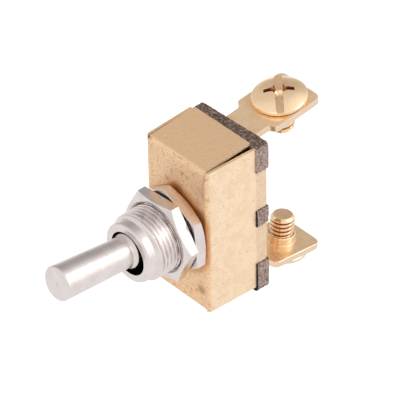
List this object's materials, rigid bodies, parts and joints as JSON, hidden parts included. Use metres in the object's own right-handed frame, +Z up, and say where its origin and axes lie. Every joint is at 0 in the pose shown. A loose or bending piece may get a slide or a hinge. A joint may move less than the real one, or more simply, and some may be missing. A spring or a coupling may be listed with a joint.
{
  "type": "panel toggle switch",
  "caption": "Panel toggle switch with a folded brass case, a threaded bushing with two thin nuts, a round lever and two screw terminals on a fibre base.",
  "frame": {"origin": "on the bushing's axis at the front face of the case, where the panel side begins", "axes": "-Y forward along the bushing to the lever, +Y back to the terminals, +Z up the long side of the case, +X to the right seen from the front"},
  "size_m": [0.0164, 0.0539, 0.0357],
  "materials": {
    "case_brass": "mill finish, pitted and unevenly tarnished",
    "liner_fibre": "black pressed fibre paper",
    "base_fibre": "punched vulcanised fibre with rough edges",
    "bushing_nickel": "satin nickel plate over turned brass",
    "front_nut_nickel": "bright nickel plate",
    "rear_nut_nickel": "bright nickel plate",
    "lever_nickel": "satin nickel plate with fine turning marks",
    "pin_steel": "ground",
    "plunger_nylon": "natural nylon",
    "spring_steel": "bright drawn wire",
    "rocker_copper": "rolled copper strip",
    "contact_silver": "silver face",
    "bracket_brass": "rolled strip",
    "rivet_brass": "headed brass, slightly tarnished",
    "terminal_brass": "rolled strip with blanked edges",
    "screw_brass": "bright headed brass"
  },
  "bodies": {
    "housing": {"case": "case_brass", "insulating_liner": "liner_fibre", "base_plate": "base_fibre", "bushing": "bushing_nickel", "fulcrum_bracket": "bracket_brass", "bracket_rivet": "rivet_brass", "contact_rivet": "rivet_brass", "terminal_top": "terminal_brass", "terminal_bottom": "terminal_brass"},
    "lever": {"lever": "lever_nickel", "pivot_pin": "pin_steel", "plunger_spring": "spring_steel"},
    "plunger": {"plunger": "plunger_nylon"},
    "rocker": {"rocker": "rocker_copper", "moving_contact": "contact_silver"},
    "nut_front": {"nut_front": "front_nut_nickel"},
    "nut_rear": {"nut_rear": "rear_nut_nickel"},
    "screw_top": {"terminal_screw_top": "screw_brass"},
    "screw_bottom": {"terminal_screw_bottom": "screw_brass"}
  },
  "joints": [
    {"name": "lever_toggle", "type": "hinge", "parent": "housing", "child": "lever", "pos_m": [0, -0.00427, 0], "axis": [1, 0, 0], "range_deg": [0, 12.8]},
    {"name": "rocker_tilt", "type": "hinge", "parent": "housing", "child": "rocker", "pos_m": [0, 0.0071, 0], "axis": [1, 0, 0], "range_deg": [-10, 0]},
    {"name": "plunger_slide", "type": "slide", "parent": "lever", "child": "plunger", "axis": [0, -0.9938, 0.1115], "range_m": [0, 0.0006], "stiffness_N_per_m": 200, "springref_m": -0.002, "deforming": ["plunger_spring"]},
    {"name": "front_nut_slide", "type": "slide", "parent": "housing", "child": "nut_front", "axis": [0, -1, 0], "range_m": [0, 0.0036]},
    {"name": "rear_nut_slide", "type": "slide", "parent": "housing", "child": "nut_rear", "axis": [0, -1, 0], "range_m": [0, 0.0003]},
    {"name": "top_screw_slide", "type": "slide", "parent": "housing", "child": "screw_top", "axis": [0, -0.1097, 0.994], "range_m": [0, 0.004]},
    {"name": "bottom_screw_slide", "type": "slide", "parent": "housing", "child": "screw_bottom", "axis": [0, -0.1097, -0.994], "range_m": [0, 0.004]}
  ],
  "couplings": [
    {"joint": "rocker_tilt", "follows": "lever_toggle", "ratio": -0.78125}
  ]
}
